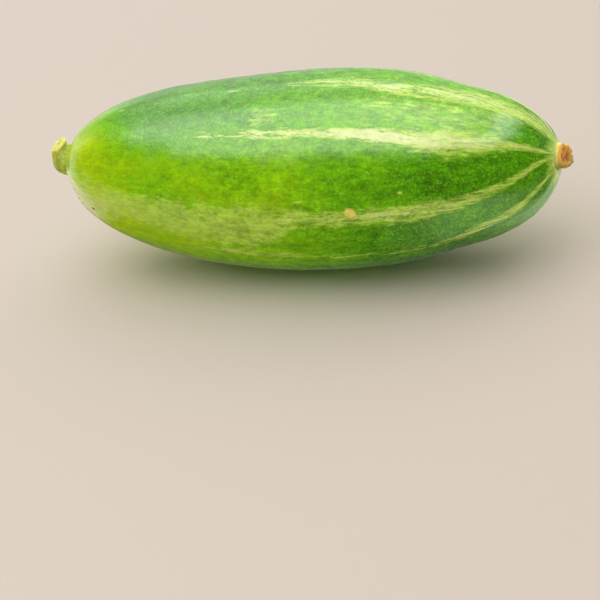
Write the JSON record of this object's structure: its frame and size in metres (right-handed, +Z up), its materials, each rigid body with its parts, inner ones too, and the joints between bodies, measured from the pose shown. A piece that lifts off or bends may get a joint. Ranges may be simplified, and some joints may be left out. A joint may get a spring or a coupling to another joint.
{
  "type": "pointed gourd",
  "caption": "Pointed gourd, whole and as picked, lying on its side: a plump striped green fruit with the cut stub of its stem and the dried base of its flower.",
  "frame": {"origin": "on the small flat spot that the fruit rests on, straight below the middle of its thickest section", "axes": "+X runs along the fruit from its stem end to its flower end, +Z is up, -Z faces the surface that it lies on"},
  "size_m": [0.0974, 0.0362, 0.0357],
  "materials": {
    "fruit_skin": "smooth, slightly waxy green skin, lime towards the stem end and deep green towards the flower end, with ragged pale stripes that run from end to end",
    "stem_stub": "matt olive-green fibrous stem with a dry, pale yellow cut end",
    "flower_base": "dry corky collar, golden brown with a pale ragged rim and a dark red-brown hollow end"
  },
  "bodies": {
    "root": {"fruit": "fruit_skin", "stem_stub": "stem_stub", "flower_base": "flower_base"}
  },
  "joints": []
}
